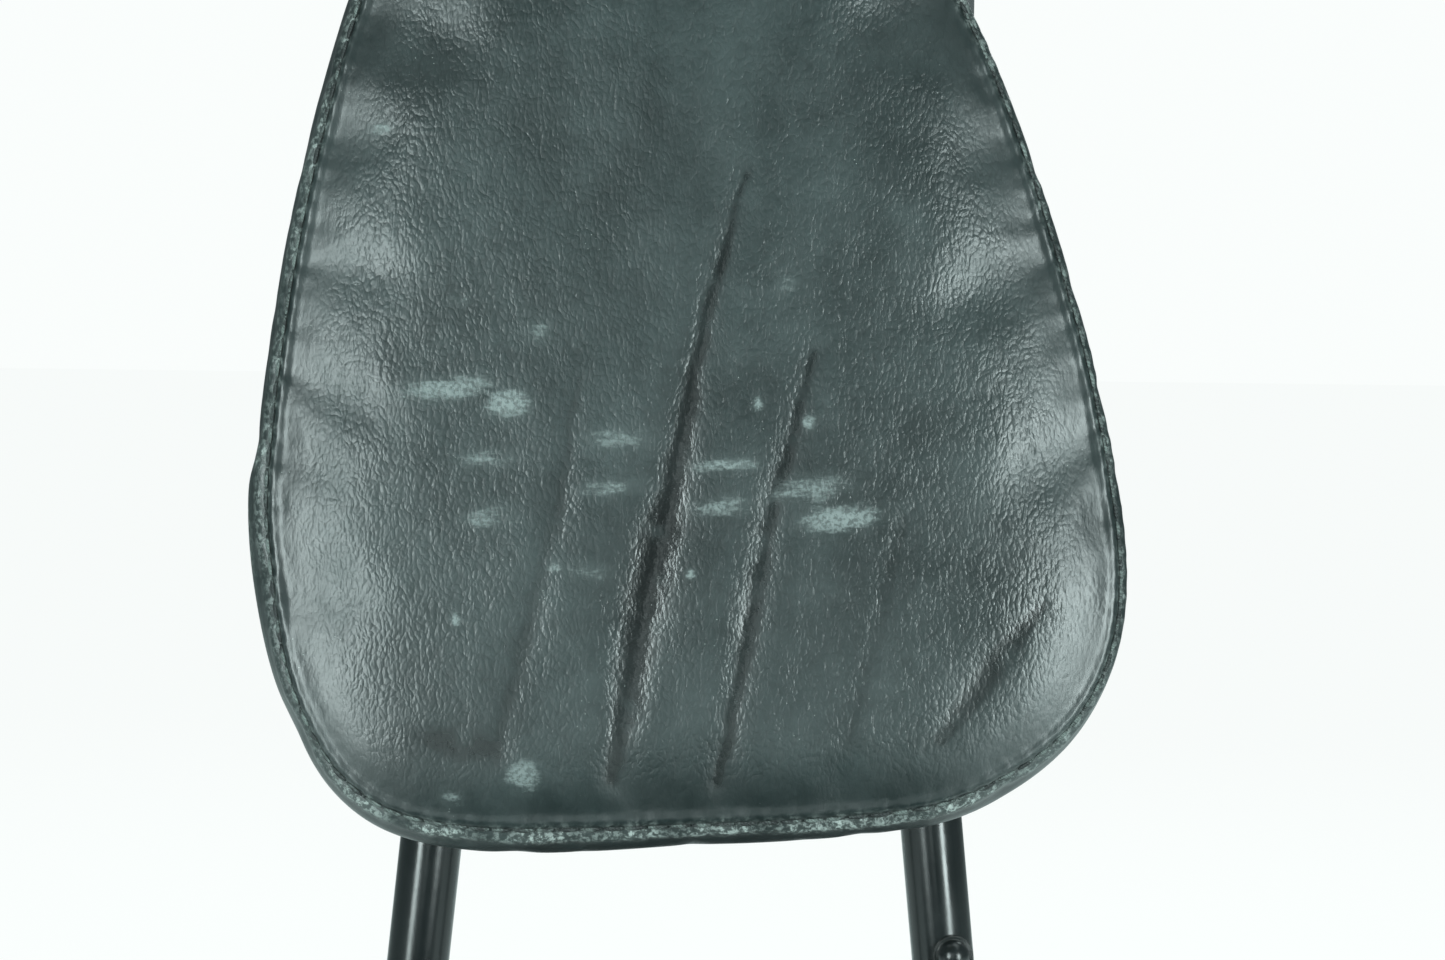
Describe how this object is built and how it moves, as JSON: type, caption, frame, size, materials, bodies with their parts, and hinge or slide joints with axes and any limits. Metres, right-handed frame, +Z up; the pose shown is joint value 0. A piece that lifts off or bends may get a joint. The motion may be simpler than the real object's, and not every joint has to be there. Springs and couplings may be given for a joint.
{
  "type": "pec deck machine",
  "caption": "Pec deck exercise machine with splayed round tube uprights, a stitched leather backrest and seat, two swinging arms with forearm pads, and a cable-lifted weight stack.",
  "frame": {"origin": "on the floor under the middle of the machine's bounding box", "axes": "+Z up, +X to the right of somebody looking at the backrest, -Y the way the sitter faces"},
  "size_m": [1.23, 1.1, 1.4923],
  "materials": {
    "frame_paint": "gloss black enamel",
    "rubber": "matt",
    "black_plastic": "moulded, slightly grained",
    "nylon": "turned nylon",
    "bronze": "machined bronze",
    "leather": "worn black leather, pebbled grain, satin",
    "plywood": "birch plywood",
    "zinc_steel": "zinc plated",
    "bright_steel": "polished hard chrome",
    "drum_metal": "turned",
    "cast_iron": "painted black, chipped edges",
    "wire_rope": "stranded wire rope"
  },
  "bodies": {
    "frame": {"front_foot": "frame_paint", "rear_foot": "frame_paint", "upright_foot": "frame_paint", "floor_rails": "frame_paint", "rubber_feet": "rubber", "upright_left": "frame_paint", "upright_right": "frame_paint", "upright_dome_bolt": "zinc_steel", "pivot_beam": "frame_paint", "pivot_housings": "frame_paint", "top_spine": "frame_paint", "rear_crosshead": "frame_paint", "bar_end_plugs": "black_plastic", "head_gussets": "frame_paint", "pivot_bushes": "bronze", "back_cushion": "leather", "back_board": "plywood", "back_mount_plates": "frame_paint", "back_standoffs": "frame_paint", "back_screws": "zinc_steel", "weight_plates_resting": "cast_iron", "stack_base": "frame_paint", "guide_rods": "bright_steel", "stack_bumpers": "rubber", "cable_drops": "wire_rope", "pulley_cheeks": "frame_paint", "pulley_axles": "zinc_steel", "cable_runs": "wire_rope", "seat_sleeve": "frame_paint", "seat_liner": "black_plastic"},
    "left_arm": {"pivot_shaft_left": "zinc_steel", "arm_left": "frame_paint", "cable_drum_left": "drum_metal", "cable_wrap_left": "wire_rope", "forearm_plate_left": "frame_paint", "forearm_pad_left": "leather", "forearm_screws_left": "zinc_steel", "hand_grip_left": "rubber"},
    "right_arm": {"pivot_shaft_right": "zinc_steel", "arm_right": "frame_paint", "cable_drum_right": "drum_metal", "cable_wrap_right": "wire_rope", "forearm_plate_right": "frame_paint", "forearm_pad_right": "leather", "forearm_screws_right": "zinc_steel", "hand_grip_right": "rubber"},
    "left_pulley": {"pulley_left": "nylon"},
    "right_pulley": {"pulley_right": "nylon"},
    "weight_carriage": {"weight_plates_lifted": "cast_iron", "carriage_plate": "cast_iron", "guide_bushes": "nylon", "selector_stem": "zinc_steel", "cable_swages": "zinc_steel"},
    "selector_pin": {"selector_pin": "bright_steel"},
    "seat": {"seat_post": "bright_steel", "seat_plate": "frame_paint", "seat_board": "plywood", "seat_screws": "zinc_steel", "seat_cushion": "leather"},
    "seat_clamp_knob": {"seat_clamp_knob": "black_plastic"}
  },
  "joints": [
    {"name": "right_arm_swing", "type": "hinge", "parent": "frame", "child": "right_arm", "pos_m": [0.19, -0.02, 1.425], "axis": [0, 0, -1], "range_deg": [0, 100]},
    {"name": "left_arm_swing", "type": "hinge", "parent": "frame", "child": "left_arm", "pos_m": [-0.19, -0.02, 1.425], "axis": [0, 0, 1], "range_deg": [0, 100]},
    {"name": "carriage_lift", "type": "slide", "parent": "frame", "child": "weight_carriage", "axis": [0, 0, 1], "range_m": [0, 0.1223], "deforming": ["cable_drops"]},
    {"name": "right_pulley_spin", "type": "hinge", "parent": "frame", "child": "right_pulley", "pos_m": [0.13183, 0.32403, 1.4503], "axis": [0.9325, 0.3611, 0], "range_deg": [0, 234]},
    {"name": "left_pulley_spin", "type": "hinge", "parent": "frame", "child": "left_pulley", "pos_m": [-0.13183, 0.32403, 1.4503], "axis": [0.9325, -0.3611, 0], "range_deg": [0, 234]},
    {"name": "selector_pin_pull", "type": "slide", "parent": "weight_carriage", "child": "selector_pin", "axis": [0, 1, 0], "range_m": [0, 0.1]},
    {"name": "seat_height", "type": "slide", "parent": "frame", "child": "seat", "axis": [0, 0, 1], "range_m": [0, 0.08]},
    {"name": "seat_clamp_turn", "type": "hinge", "parent": "frame", "child": "seat_clamp_knob", "pos_m": [0, -0.2, 0.29], "axis": [0, 1, 0], "range_deg": [-180, 180]}
  ],
  "couplings": [
    {"joint": "left_arm_swing", "follows": "right_arm_swing", "ratio": 1},
    {"joint": "carriage_lift", "follows": "right_arm_swing", "m_per_rad": 0.07},
    {"joint": "right_pulley_spin", "follows": "right_arm_swing", "ratio": 2.3333},
    {"joint": "left_pulley_spin", "follows": "right_arm_swing", "ratio": 2.3333}
  ]
}
